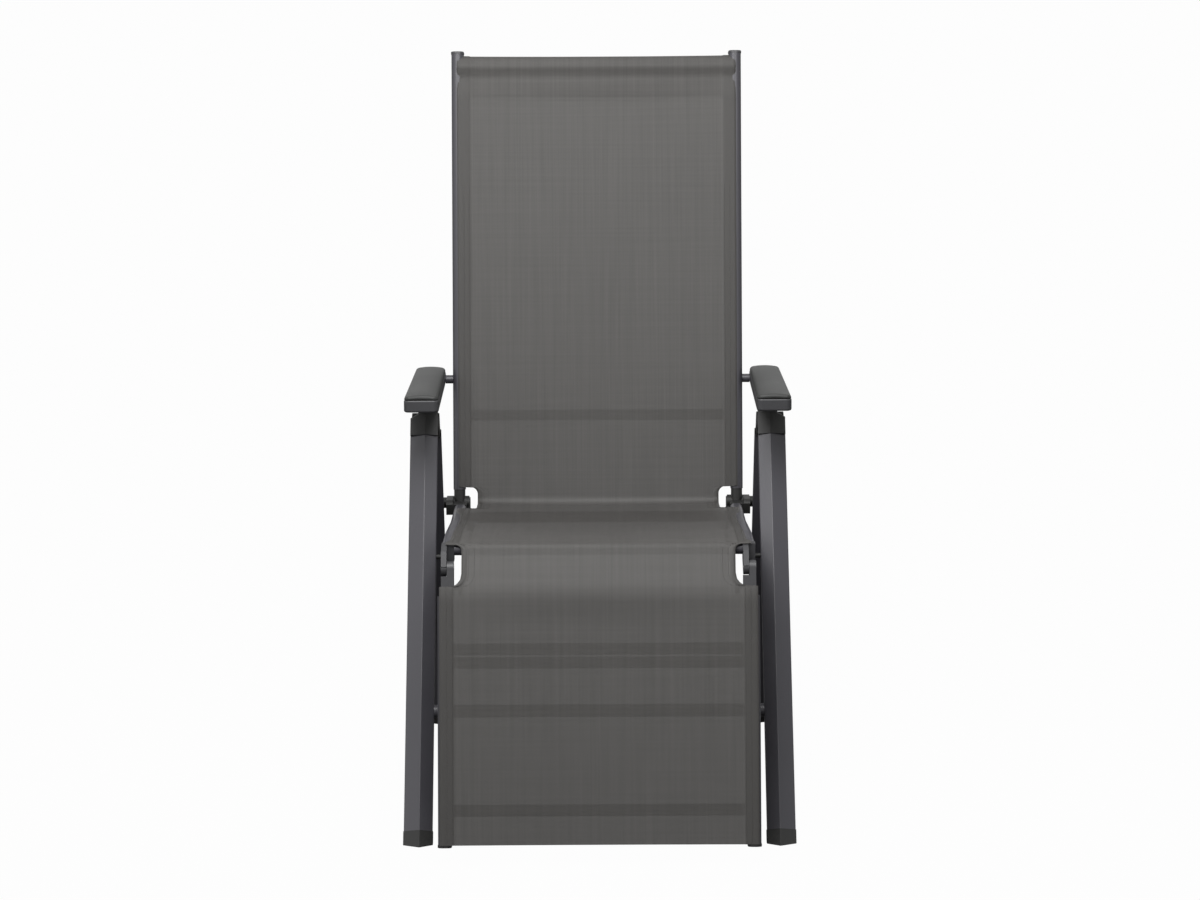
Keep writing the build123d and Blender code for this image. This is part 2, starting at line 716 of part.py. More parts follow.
def arm_body():
    """The hard lower half, with a slot below that holds the rack of teeth."""
    plane = arm_plane()
    body = extrude(plane.offset(-arm_axis_height) * arm_plan(), amount=arm_body_height)
    body = fillet(body.faces().sort_by(Axis.Z)[0].edges(), arm_bottom_edge)
    slot_length = arm_front_reach - slot_front_margin - slot_rear_reach
    slot_middle = -(slot_rear_reach + slot_length / 2)
    slot = extrude(plane.offset(-arm_axis_height) * (Pos(-(slot_inner + slot_width / 2), slot_middle)
                                                     * Rectangle(slot_width, slot_length)), amount=slot_depth)
    body -= slot
    count = int(slot_length // tooth_spacing)
    for index in range(count):
        place = -(slot_rear_reach + tooth_spacing * (index + 0.5))
        tooth = extrude(plane.offset(-arm_axis_height + slot_depth - tooth_height)
                        * (Pos(-(slot_inner + slot_width / 2), place) * Rectangle(slot_width, tooth_length)),
                        amount=tooth_height)
        body += tooth
    bore_from = -(arm_outer - arm_rear_width - touch) - arm_bolt_bite - touch
    return body - pin(arm_pivot, arm_bolt_radius + fit, bore_from, -back_half_width)


def arm_pad():
    pad = extrude(arm_plane().offset(arm_body_height - arm_axis_height) * arm_plan(pad_inset), amount=pad_height)
    top = pad.faces().sort_by(Axis.Z)[-1]
    return fillet(top.edges(), pad_edge)


def armrests():
    nodes = {}
    nodes.update(both_sides("arm_body", arm_body()))
    nodes.update(both_sides("arm_pad", arm_pad()))
    return nodes


def build():
    nodes = {}
    for group in (legs(), seat(), backrest(), footrest(), armrests()):
        nodes.update(group)
    nodes.update(both_sides("push_rod", push_rod()))
    return nodes


def middle_of(nodes):
    """The shift along Y that brings the middle of the whole chair over the origin."""
    boxes = [node.bounding_box() for node in nodes.values()]
    front = min(box.min.Y for box in boxes)
    rear = max(box.max.Y for box in boxes)
    return -(front + rear) / 2


def main():
    nodes = build()
    shift = middle_of(nodes)
    os.makedirs("parts", exist_ok=True)
    for name, shape in nodes.items():
        export_step(Pos(0, shift, 0) * shape, "parts/" + name + ".step")
    print("nodes", len(nodes), "shift", round(shift, 3))
    return nodes, shift


if __name__ == "__main__":
    main()
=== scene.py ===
# %% [markdown]
# # A reclining garden armchair
# The rigid frame of the chair (tubes, hinges, bars) comes ready made and in its place.
# This lesson dresses it: painted metal, moulded plastic, and above all the sling, the
# long taut sheet of woven mesh that one sits on. Everything is in metres, Z is up, and
# the front of the chair, with its footrest, looks along -Y.

# %% Load the frame
import json
from math import cos, pi, radians, sin

import bpy
import numpy as np
from mathutils import Matrix, Vector


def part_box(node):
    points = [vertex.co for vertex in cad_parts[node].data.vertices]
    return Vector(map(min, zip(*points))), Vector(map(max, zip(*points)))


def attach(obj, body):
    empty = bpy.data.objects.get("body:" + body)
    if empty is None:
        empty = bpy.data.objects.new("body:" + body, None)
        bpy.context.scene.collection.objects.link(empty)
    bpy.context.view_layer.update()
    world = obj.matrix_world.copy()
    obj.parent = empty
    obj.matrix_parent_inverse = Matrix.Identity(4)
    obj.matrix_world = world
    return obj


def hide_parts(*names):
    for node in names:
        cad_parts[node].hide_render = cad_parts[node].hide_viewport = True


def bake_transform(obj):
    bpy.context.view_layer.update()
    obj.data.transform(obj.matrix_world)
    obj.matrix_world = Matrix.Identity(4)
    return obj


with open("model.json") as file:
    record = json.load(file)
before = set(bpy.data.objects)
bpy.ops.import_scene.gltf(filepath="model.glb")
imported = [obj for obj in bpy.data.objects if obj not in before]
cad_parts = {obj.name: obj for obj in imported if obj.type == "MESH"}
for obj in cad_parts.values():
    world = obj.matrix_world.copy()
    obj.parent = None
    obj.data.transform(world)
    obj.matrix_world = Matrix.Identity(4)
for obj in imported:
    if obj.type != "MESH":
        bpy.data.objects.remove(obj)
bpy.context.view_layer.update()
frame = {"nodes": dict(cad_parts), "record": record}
LEG_PIVOT_DEPTH = 0.091
pin_low, pin_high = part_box("leg_pivot_pins")
# Depths below are measured as in the frame's drawing, with zero midway between the feet and
# the pins that join the legs at LEG_PIVOT_DEPTH. The frame was then moved along Y by this.
DY = (pin_low.y + pin_high.y) / 2 - LEG_PIVOT_DEPTH

# %% [markdown]
# ## Camera
# The photograph was taken from the front, from about head height and nearly five metres
# away, with a long lens. The lens length follows from how wide the chair looks in the frame
# at that distance. A tiny roll stands for a camera that was not quite level.

# %% Camera
PITCH, ROLL = 13.376, -0.27
CAMERA_DEPTH, CAMERA_HEIGHT = -4.8125, 1.6921
FILM_WIDTH, LENS = 36.0, 93.86
SIDE_SHIFT = 0.0017
FAR_CLIP = 200.0
camera_data = bpy.data.cameras.new("camera")
camera = bpy.data.objects.new("camera", camera_data)
bpy.context.scene.collection.objects.link(camera)
camera_data.sensor_width = FILM_WIDTH
camera_data.lens = LENS
camera_data.shift_x = SIDE_SHIFT
camera_data.clip_end = FAR_CLIP
aim = Matrix.Rotation(radians(90 - PITCH), 4, "X") @ Matrix.Rotation(radians(ROLL), 4, "Z")
camera.matrix_world = Matrix.Translation((0, CAMERA_DEPTH + DY, CAMERA_HEIGHT)) @ aim
bpy.context.scene.camera = camera
print("camera at", [round(v, 3) for v in camera.location])

# %% [markdown]
# ## Shader arithmetic
# A procedural finish is arithmetic on coordinates. Wiring Math nodes by hand hides the
# formula, so the class `Field` wraps a socket and turns ordinary Python operators into
# Math nodes. One method, `node`, makes everything else. The light around the chair and
# all its finishes are written with them.

# %% A socket that can be calculated with
# The Mix node has a set of sockets for each data type; these are the colour ones
COLOUR_A, COLOUR_B, COLOUR_RESULT = 6, 7, 2
WHITE = (1, 1, 1, 1)


class Field:
    """One output socket in a node tree, as a value that can be calculated with."""

    def __init__(self, wiring, socket):
        self.wiring = wiring
        self.socket = socket

    def maths(self, operation, *values):
        return self.wiring.node("ShaderNodeMath", dict(operation=operation), dict(enumerate(values)))

    def __add__(self, other):
        return self.maths("ADD", self, other)

    __radd__ = __add__

    def __sub__(self, other):
        return self.maths("SUBTRACT", self, other)

    def __rsub__(self, other):
        return self.maths("SUBTRACT", other, self)

    def __mul__(self, other):
        return self.maths("MULTIPLY", self, other)

    __rmul__ = __mul__

    def sine(self):
        return self.maths("SINE", self)

    def size(self):
        return self.maths("ABSOLUTE", self)

    def larger(self, other):
        return self.maths("MAXIMUM", self, other)

    def ramp(self, low, high):
        """0 below low, 1 above high, smooth between them."""
        return self.wiring.node("ShaderNodeMapRange", dict(interpolation_type="SMOOTHSTEP"),
                                {"Value": self, "From Min": low, "From Max": high})

    def also(self, output):
        """Another output of the same node."""
        return Field(self.wiring, self.socket.node.outputs[output])


print("a socket can be calculated with")

# %% A node tree, and a material
class Wiring:
    """A node tree under construction."""

    def __init__(self, tree):
        self.tree = tree

    def join(self, target, value):
        if isinstance(value, Field):
            self.tree.links.new(value.socket, target)
        else:
            target.default_value = value

    def node(self, kind, settings=None, inputs=None, output=0):
        made = self.tree.nodes.new(kind)
        for key, value in (settings or {}).items():
            setattr(made, key, value)
        for key, value in (inputs or {}).items():
            self.join(made.inputs[key], value)
        return Field(self, made.outputs[output]) if made.outputs else None

    def mixed_shader(self, share, first, second):
        return self.node("ShaderNodeMixShader", None, {"Fac": share, 1: first, 2: second})


class Finish(Wiring):
    """A material under construction, ending in one Principled shader."""

    def __init__(self, name):
        self.material = bpy.data.materials.new(name)
        self.material.use_nodes = True
        super().__init__(self.material.node_tree)
        self.shader = self.tree.nodes["Principled BSDF"]

    def set(self, **values):
        for key, value in values.items():
            self.join(self.shader.inputs[key.replace("_", " ")], value)

    def place(self):
        return self.node("ShaderNodeTexCoord", output="Object")

    def noise(self, scale, detail, vector=None):
        inputs = {"Scale": scale, "Detail": detail, "Vector": vector or self.place()}
        return self.node("ShaderNodeTexNoise", None, inputs, output="Fac")

    def blend_colour(self, share, first, second):
        inputs = {"Factor": share, COLOUR_A: first, COLOUR_B: second}
        return self.node("ShaderNodeMix", dict(data_type="RGBA"), inputs, output=COLOUR_RESULT)

    def bump(self, height, strength, distance):
        inputs = {"Height": height, "Strength": strength, "Distance": distance}
        return self.node("ShaderNodeBump", None, inputs, output="Normal")


print("a material can be written as a formula")

# %% [markdown]
# ## Light
# A studio product shot is lit softly from all round. Two sun lamps with a wide angle stand
# in for the studio's lamps, one steep and a stronger one low from the left. Sun lamps light
# the floor evenly as far as it reaches. A disc lamp in front and above adds a sheen. The
# Standard view transform keeps colours as written.

# %% Lamps
scene = bpy.context.scene
scene.view_settings.view_transform = "Standard"
DISC_SIZE, DISC_POWER = 1.1, 32.0
DISC_PLACE, DISC_TARGET = (-0.12, -0.95, 2.02), Vector((0.0, 0.15, 0.65))


def aimed(direction):
    return Vector(direction).to_track_quat("-Z", "Y").to_euler()


def add_sun(name, strength, soft_degrees, direction):
    lamp = bpy.data.lights.new(name, "SUN")
    lamp.energy = strength
    lamp.angle = radians(soft_degrees)
    sun = bpy.data.objects.new(name, lamp)
    sun.rotation_euler = aimed(direction)
    scene.collection.objects.link(sun)
    print(name, strength)


add_sun("key_light", 0.22, 40, (0.25, 0.55, -1.0))
add_sun("side_light", 0.40, 50, (0.9, 0.6, -0.5))
disc = bpy.data.lights.new("overhead_box", "AREA")
disc.shape = "DISK"
disc.size = DISC_SIZE
disc.energy = DISC_POWER
overhead = bpy.data.objects.new("overhead_box", disc)
overhead.location = DISC_PLACE
overhead.rotation_euler = aimed(DISC_TARGET - overhead.location)
scene.collection.objects.link(overhead)
print(overhead.name, DISC_POWER)

# %% [markdown]
# ## The white surround
# The paper behind the chair must look white, yet white all round would drown the dark
# frame in light. So the world is dim as a source of light, and white only for what the
# camera sees: directly, through the mesh, or mirrored in paint and metal.

# %% World
SURROUND_LIGHT = 0.09
studio = bpy.data.worlds.new("studio")
scene.world = studio
studio.use_nodes = True
surround = Wiring(studio.node_tree)
surround.tree.nodes.clear()
camera_ray = surround.node("ShaderNodeLightPath", output="Is Camera Ray")
seen = camera_ray.larger(camera_ray.also("Is Transmission Ray")).larger(camera_ray.also("Is Glossy Ray"))
dim, bright = (surround.node("ShaderNodeBackground", None, {"Color": WHITE, "Strength": strength})
               for strength in (SURROUND_LIGHT, 1.0))
surround.node("ShaderNodeOutputWorld", None, {"Surface": surround.mixed_shader(seen, dim, bright)})
print("the surround lights with", SURROUND_LIGHT)

# %% [markdown]
# ## Metal and plastic
# The tubes are powder coated: a thin, slightly pebbled paint with a soft sheen. The
# mouldings are grained black plastic, and the armrests a greyer one. A picture of paint
# could be wrapped round them, but it would stretch at the bends. Noise that fills space
# needs no wrapping, so each finish has a fine bump for its grain and slow noise for the
# unevenness that any real surface has.

# %% Rigid finishes
SLOW_SCALE, SLOW_DETAIL, FINE_DETAIL = 9.0, 3.0, 2.0
GRAIN_STRENGTH = 0.35
SLOW_COLOUR, FINE_COLOUR = 0.6, 0.4
SLOW_GLOSS, FINE_GLOSS = 0.12, 0.08
# Noise averages a half, so this takes back what the two gloss terms add
GLOSS_MEAN = (SLOW_GLOSS + FINE_GLOSS) / 2


def grained(name, dark, light, rough, grain, depth, metallic=0.0):
    """A finish with fine grain in its relief and slow unevenness in colour and gloss."""
    finish = Finish(name)
    slow = finish.noise(SLOW_SCALE, SLOW_DETAIL)
    fine = finish.noise(grain, FINE_DETAIL)
    colour = finish.blend_colour(slow * SLOW_COLOUR + fine * FINE_COLOUR, (*dark, 1), (*light, 1))
    finish.set(Base_Color=colour, Metallic=metallic,
               Roughness=slow * SLOW_GLOSS + fine * FINE_GLOSS + (rough - GLOSS_MEAN),
               Normal=finish.bump(fine, GRAIN_STRENGTH, depth))
    return finish.material


powder_coat = grained("powder_coat", (0.045, 0.044, 0.052), (0.059, 0.057, 0.067),
                      rough=0.40, grain=900.0, depth=0.0004)
light_coat = grained("light_grey_coat", (0.042, 0.042, 0.045), (0.056, 0.056, 0.060),
                     rough=0.45, grain=900.0, depth=0.0003)
black_moulding = grained("black_moulding", (0.004, 0.004, 0.004), (0.008, 0.008, 0.007),
                         rough=0.58, grain=1400.0, depth=0.0004)
arm_moulding = grained("arm_moulding", (0.040, 0.040, 0.043), (0.052, 0.052, 0.056),
                       rough=0.45, grain=1300.0, depth=0.0004)
arm_grip = grained("arm_grip", (0.024, 0.025, 0.024), (0.030, 0.031, 0.030),
                   rough=0.60, grain=700.0, depth=0.0006)
zinc_steel = grained("zinc_steel", (0.16, 0.16, 0.165), (0.24, 0.24, 0.245),
                     rough=0.40, grain=500.0, depth=0.0002, metallic=1.0)
print("rigid finishes", len(bpy.data.materials))

# %% [markdown]
# ## Dressing the frame
# Every frame piece comes with the name of the stuff that it is made of, its slot. Choosing
# a finish by slot, and not piece by piece, keeps both sides of the chair alike. The sling
# has no finish here, because drawn cloth takes the place of its plain sheets.

# %% Dress the frame
SLOT_FINISH = {"frame_metal": powder_coat, "cast_grey": light_coat, "black_plastic": black_moulding,
               "arm_plastic": arm_moulding, "arm_pad": arm_grip, "steel": zinc_steel}
slot_of = {part["node"]: part["material_slot"] for part in frame["record"]["subparts"]}
for name, node in frame["nodes"].items():
    finish = SLOT_FINISH.get(slot_of[name])
    if finish:
        node.data.materials.clear()
        node.data.materials.append(finish)
print("dressed", sum(slot_of[n] in SLOT_FINISH for n in frame["nodes"]), "frame pieces")

# %% [markdown]
# ## The woven mesh
# The sling is coated yarn in a plain weave. The yarns are a little over a millimetre wide,
# thick enough to be seen close up, and the pinholes between them let a little of what is
# behind the cloth through. That is why the crossbars show as dark bands. Modelled yarns
# would take millions of faces, so two sine waves draw the weave on a plain sheet. The UV
# map holds real metres, so the weave has its true size and follows every bend.

# %% Woven mesh finish
YARN = 0.0013
# Unevenness of the yarns: scale across, along and through, and its share
STREAKS = (((430.0, 5.0, 1.0), 0.40), ((130.0, 3.0, 1.0), 0.35), ((4.0, 260.0, 1.0), 0.25))
STREAK_GAIN = 1.9
BLOTCH_SCALE = 6.0
CROSSING, PINHOLE = (-0.35, 0.35), (0.25, 0.75)
# The doubled hem ends between these two distances from the edge of the cloth
HEM_EDGE = (0.0206, 0.0222)
DARK_YARN, LIGHT_YARN, HEM_SHADE = 0.55, 1.45, 0.86
STREAK_COLOUR, BLOTCH_COLOUR, YARN_COLOUR = 0.65, 0.15, 0.2
PINHOLE_ALPHA, YARN_MORE = 0.935, 0.05
MESH_ROUGH, CREST_GLOSS = 0.62, 0.14
MESH_BUMP, MESH_DEPTH = 0.5, 0.0004


def shaded(tint, share):
    return (*(share * c for c in tint), 1)


def woven_mesh(name, tint):
    finish = Finish(name)
    uv = finish.node("ShaderNodeUVMap", dict(uv_map="cloth"))
    across = finish.node("ShaderNodeSeparateXYZ", None, {0: uv})
    warp = (across * (pi / YARN)).sine()
    weft = (across.also(1) * (pi / YARN)).sine()
    warp_yarn, weft_yarn = warp.size(), weft.size()
    over = (warp * weft).ramp(*CROSSING)
    height = over * warp_yarn + (1 - over) * weft_yarn
    covered = (warp_yarn + weft_yarn).ramp(*PINHOLE)
    streak = 0.0
    for scale, share in STREAKS:
        place = finish.node("ShaderNodeMapping", None, {"Vector": uv, "Scale": scale})
        streak = streak + ((finish.noise(1.0, 2.0, place) - 0.5) * STREAK_GAIN + 0.5) * share
    blotch = finish.noise(BLOTCH_SCALE, 2.0)
    edge_uv = finish.node("ShaderNodeUVMap", dict(uv_map="edge"))
    inside = finish.node("ShaderNodeSeparateXYZ", None, {0: edge_uv}).ramp(*HEM_EDGE)
    mottle = streak * STREAK_COLOUR + blotch * BLOTCH_COLOUR + over * YARN_COLOUR
    plain = finish.blend_colour(mottle, shaded(tint, DARK_YARN), shaded(tint, LIGHT_YARN))
    colour = finish.blend_colour(inside, shaded(tint, HEM_SHADE), plain)
    doubled = 1 - inside
    opaque = (covered * YARN_MORE + PINHOLE_ALPHA) * (1 - doubled) + doubled
    finish.set(Base_Color=colour, Roughness=MESH_ROUGH - height * CREST_GLOSS, Alpha=opaque,
               Normal=finish.bump(height, MESH_BUMP, MESH_DEPTH))
    return finish.material


sling_cloth = woven_mesh("sling_cloth", (0.063, 0.060, 0.0565))
thread = grained("thread", (0.050, 0.048, 0.045), (0.090, 0.086, 0.080),
                 rough=0.6, grain=800.0, depth=0.0002)
print("weave of", YARN * 1000, "mm yarns")

# %% [markdown]
# ## The line of the sling
# Seen from the side, the sling is one line: up behind the top bar, over it, down the
# back, round into the seat, along the rails, over the front edge and down the footrest.
# Simulated cloth would sag as it pleased, but this one is pulled taut between its tubes.
# So a list of points with rounded corners gives the line, and cloth is drawn across it.
# At the front edge it runs over the bar and slants down to the plane of the footrest.

# %% Points along the frame
BACK_PIVOT = np.array([0.227 + DY, 0.405])
FOOT_PIVOT = np.array([-0.268 + DY, 0.429])
BACK_LEAN, FOOT_LEAN = radians(13.1), radians(15.2)
UP_BACK = np.array([sin(BACK_LEAN), cos(BACK_LEAN)])
BACK_FRONT = np.array([-cos(BACK_LEAN), sin(BACK_LEAN)])
DOWN_FOOT = np.array([-sin(FOOT_LEAN), -cos(FOOT_LEAN)])
FOOT_FRONT = np.array([-cos(FOOT_LEAN), sin(FOOT_LEAN)])
BACK_OFFSET, FOOT_OFFSET, SEAT_RISE = 0.0162, 0.0142, 0.0142


def on_back(reach, front=BACK_OFFSET):
    """A point of the side view, by its reach up the back and its distance in front of it."""
    return BACK_PIVOT + UP_BACK * reach + BACK_FRONT * front


def on_footrest(reach, front=FOOT_OFFSET):
    """A point of the side view, by its reach down the footrest and its distance in front."""
    return FOOT_PIVOT + DOWN_FOOT * reach + FOOT_FRONT * front


def on_seat(depth, height):
    """A point of the side view, by its depth and the height of the tube below the cloth."""
    return np.array([depth + DY, height + SEAT_RISE])


print("back pivot", BACK_PIVOT.round(4), "footrest pivot", FOOT_PIVOT.round(4))

# %% Rounded lines
LINE_PACE, FINE_PACE = 0.004, 0.0005
CUT_REACH, CUT_PACE = 0.022, 0.001
CORNER_STEPS = 13
# A corner may take at most this much of the stretches beside it
CORNER_SHARE = 0.48


def rounded_line(points, radii, pace=LINE_PACE, cuts=()):
    """The polyline with rounded corners, in even steps, and in finer ones near each cut."""
    points = [np.array(p, float) for p in points]
    dense = [points[0]]
    for before, corner, after, radius in zip(points, points[1:], points[2:], radii[1:-1]):
        far_before, far_after = np.linalg.norm(before - corner), np.linalg.norm(after - corner)
        to_before, to_after = (before - corner) / far_before, (after - corner) / far_after
        half = np.arccos(np.clip(to_before @ to_after, -1, 1)) / 2
        room = CORNER_SHARE * min(far_before, far_after)
        cut = min(radius / np.tan(half), room) if radius else 0.0
        start, end = corner + to_before * cut, corner + to_after * cut
        for share in np.linspace(0, 1, CORNER_STEPS):
            dense.append((1 - share) ** 2 * start + 2 * share * (1 - share) * corner + share ** 2 * end)
    dense.append(points[-1])
    dense = np.array(dense)
    steps = steps_along(dense)
    places = np.linspace(0, steps[-1], max(2, int(steps[-1] / pace)))
    for cut in cuts:
        places = places[np.abs(places - cut) > CUT_REACH]
        places = np.sort(np.r_[places, cut + np.arange(-CUT_REACH, CUT_REACH + 1e-6, CUT_PACE)])
    return np.c_[np.interp(places, steps, dense[:, 0]), np.interp(places, steps, dense[:, 1])], places


def steps_along(points):
    """The distance of each point from the first, along the line."""
    return np.r_[0, np.cumsum(np.linalg.norm(np.diff(points, axis=0), axis=1))]


def place_of(length, measure, after=0.0):
    """The distance along a line, past another one, at which a measure comes nearest to zero."""
    return float(length[np.argmin(np.where(length < after, np.inf, np.abs(measure)))])


print("corners of", CORNER_STEPS, "points")

# %% Side line
# The two cloths meet here, where the seat rail runs straight
SPLIT = on_seat(-0.205, 0.4463)
# Each guide point with the radius of its corner: up inside the pocket, over the top bar,
# down the back, and along the seat
back_guide = [(on_back(0.672, 0.0085), 0), (on_back(0.697, -0.004), 0.01), (on_back(0.7205, -0.0112), 0.01),
              (on_back(0.7405, -0.0112), 0.009), (on_back(0.7405, 0.0118), 0.009),
              (on_back(0.7230, 0.0178), 0.012), (on_back(0.7050, 0.0138), 0.02),
              (on_back(0.674, 0.0165), 0.03), (on_back(0.30), 0), (on_back(0.0), 0.055),
              (on_seat(0.190, 0.3975), 0.08), (on_seat(0.040, 0.411), 0.22),
              (on_seat(-0.140, 0.440), 0.22), (SPLIT, 0)]
# Over the front bar and down the footrest
front_guide = [(SPLIT, 0), (on_seat(-0.230, 0.4487), 0.05), (on_seat(-0.2530, 0.4505), 0.014),
               (on_footrest(0.037), 0.12), (on_footrest(0.4150), 0)]
print("sling line has", len(back_guide) + len(front_guide), "guide points")

# %% [markdown]
# ## Drawing cloth across the line
# Each panel is a grid: rows follow the side line, columns run across the chair. Columns
# crowd at the edges, where the hem is doubled and dips to the tube. The cloth sags a
# few millimetres between its tubes. At each hinge it is cut back in a rounded notch,
# drawn with finer rows. A second UV layer keeps the distance from the edge, for the
# colour of the hem.

# %% Cloth shapes
HEM = 0.021
NOTCH_HEM = 0.008
BOW_HALF = 0.240
HEM_RISE, HEM_STEP = 0.0007, 0.001
EDGE_DIP, EDGE_ROLL, DROP_ROLL = 0.0011, 0.002, 2.2
EDGE_COLUMNS = (0.0, 0.0006, 0.0016, 0.004, 0.007, 0.0085, 0.0105,
                0.015, 0.0195, 0.0205, 0.0222, 0.026, 0.034, 0.045)
INNER_COLUMNS = 27


def smooth(value, low, high):
    share = np.clip((value - low) / (high - low), 0, 1)
    return share * share * (3 - 2 * share)


def rounded_drop(distance, radius):
    """How far a quarter round edge lies below its top, at a distance inside it."""
    left = radius - np.clip(distance, 0, radius)
    return radius - np.sqrt(radius ** 2 - left ** 2)


def cut_out(length, start, end, halves, radii):
    """Half widths along a cloth whose edge is cut back between two places, with round corners."""
    before, slim, after = halves
    half = np.where(length < start, before, after)
    inside = (length > start) & (length < end)
    corner = np.maximum(rounded_drop(length - start, radii[0]), rounded_drop(end - length, radii[1]))
    return np.where(inside, slim + corner, half)


def hem_widths(length, start, end):
    return np.where((length > start) & (length < end), NOTCH_HEM, HEM)


def normals_of(line):
    along = np.gradient(line, axis=0)
    along /= np.linalg.norm(along, axis=1)[:, None]
    return np.c_[along[:, 1], -along[:, 0]]


def cloth_surface(line, length, half_width, sag, edge_drop, hem_width):
    """Points of a cloth: rows by columns, with two UV maps, in metres."""
    normal = normals_of(line)
    table, cloth_uv, edge_uv = [], [], []
    for row, half in enumerate(half_width):
        edge = half - np.array(EDGE_COLUMNS)
        inner = np.linspace(-edge[-1], edge[-1], INNER_COLUMNS)[1:-1]
        x = np.r_[-edge, inner, edge[::-1]]
        inset = half - np.abs(x)
        bow = sag[row] * (1 - (x / BOW_HALF) ** 2)
        hem = HEM_RISE * smooth(inset, hem_width[row] + HEM_STEP, hem_width[row] - HEM_STEP)
        dip = (EDGE_DIP + edge_drop[row]) * (1 - smooth(inset, 0.0, EDGE_ROLL + DROP_ROLL * edge_drop[row]))
        lift = hem - dip - bow
        table.append(np.c_[x, line[row, 0] + normal[row, 0] * lift, line[row, 1] + normal[row, 1] * lift])
        cloth_uv.append(np.c_[x, np.full(len(x), length[row])])
        edge_uv.append(np.c_[inset * HEM / hem_width[row], np.full(len(x), length[row])])
    return np.array(table), {"cloth": np.array(cloth_uv), "edge": np.array(edge_uv)}


print("cloth of", 2 * len(EDGE_COLUMNS) + INNER_COLUMNS - 2, "columns")

# %% Meshes
def make_piece(name, points, faces, uv_maps, finish):
    """A smooth mesh with one finish."""
    mesh = bpy.data.meshes.new(name)
    mesh.from_pydata(np.asarray(points).reshape(-1, 3).tolist(), [], faces)
    corner = np.empty(len(mesh.loops), int)
    mesh.loops.foreach_get("vertex_index", corner)
    for layer_name, uv in uv_maps.items():
        layer = mesh.uv_layers.new(name=layer_name)
        layer.data.foreach_set("uv", uv.reshape(-1, 2)[corner].ravel())
    mesh.shade_smooth()
    mesh.materials.append(finish)
    piece = bpy.data.objects.new(name, mesh)
    bpy.context.scene.collection.objects.link(piece)
    print(name, len(mesh.vertices), "points")
    return piece


def grid_faces(rows, columns):
    return [(r * columns + c, r * columns + c + 1, (r + 1) * columns + c + 1, (r + 1) * columns + c)
            for r in range(rows - 1) for c in range(columns - 1)]


def make_cloth(name, table, uv_maps):
    return make_piece(name, table, grid_faces(*table.shape[:2]), uv_maps, sling_cloth)


print("mesh tools ready")

# %% [markdown]
# ## Back and seat
# The larger cloth starts in the pocket round the top bar, and ends in the seat. It is
# cut back where the back's hinge needs room. The line is drawn twice: once in very fine
# steps to find where the notch starts and ends, then with rows that suit those places.
# It sags most in the middle of the seat, which carries the most weight.

# %% Back and seat panel
CLOTH_HALF, BACK_SLIM = 0.2310, 0.1996
BACK_NOTCH_REACH, BACK_NOTCH_DEPTH = 0.026, 0.149
BACK_NOTCH_RADII = (0.012, 0.012)
# Distances along the cloth: past the pocket, where the notch is looked for, and where the
# stitches start
PAST_POCKET, STITCH_START = 0.5, 0.30
SAG, SEAT_SAG, SEAT_WRAP = 0.0045, 0.0060, 0.004
# Depths between which the seat's own sag grows and ends. Its edge starts to wrap between
# the last two, which count towards the front.
SAG_GROWS, SAG_ENDS, WRAP_GROWS = (-0.20, -0.02), (0.03, 0.13), (-0.120, -0.080)
# The cloth is this much tauter where it comes out of the pocket
POCKET_TAUT, POCKET_REACH = 0.7, (0.66, 0.70)
SAG_BELOW, WRAP_BELOW = 0.05, 0.08
back_line, back_length = rounded_line(*zip(*back_guide), pace=FINE_PACE)
back_notch = [place_of(back_length, (back_line - BACK_PIVOT) @ UP_BACK - BACK_NOTCH_REACH, PAST_POCKET)]
back_notch.append(place_of(back_length, back_line[:, 0] - DY - BACK_NOTCH_DEPTH, back_notch[0]))
back_line, back_length = rounded_line(*zip(*back_guide), cuts=back_notch)
up_reach = (back_line - BACK_PIVOT) @ UP_BACK
depth = back_line[:, 0] - DY
back_half = cut_out(back_length, *back_notch, (CLOTH_HALF, BACK_SLIM, CLOTH_HALF), BACK_NOTCH_RADII)
seat_sag = smooth(depth, *SAG_GROWS) * (1 - smooth(depth, *SAG_ENDS))
back_sag = SAG + SEAT_SAG * np.where(up_reach < SAG_BELOW, seat_sag, 0)
back_sag *= 1 - POCKET_TAUT * smooth(up_reach, *POCKET_REACH)
back_sag[:int(np.argmax(up_reach))] = 0.0
seat_drop = SEAT_WRAP * smooth(-depth, *WRAP_GROWS) * (up_reach < WRAP_BELOW)
back_table, back_uv = cloth_surface(back_line, back_length, back_half, back_sag, seat_drop,
                                    hem_widths(back_length, *back_notch))
back_cloth = make_cloth("sling_back_and_seat", back_table, back_uv)
print("cut length", round(back_length[-1], 3), "m")

# %% [markdown]
# ## Front edge and footrest
# The second cloth goes on where the first ends, over the front bar and down to the end of
# the footrest. It is cut back at the footrest's hinge, and a little wider below it. Its
# weave is counted on from the first cloth's length, so that the pattern doesn't jump.

# %% Front edge and footrest panel
FOOT_HALF, FOOT_SLIM = 0.2397, 0.2065
FOOT_NOTCH_DEPTH, FOOT_NOTCH_REACH = -0.2535, 0.028
FOOT_NOTCH_RADII = (0.010, 0.020)
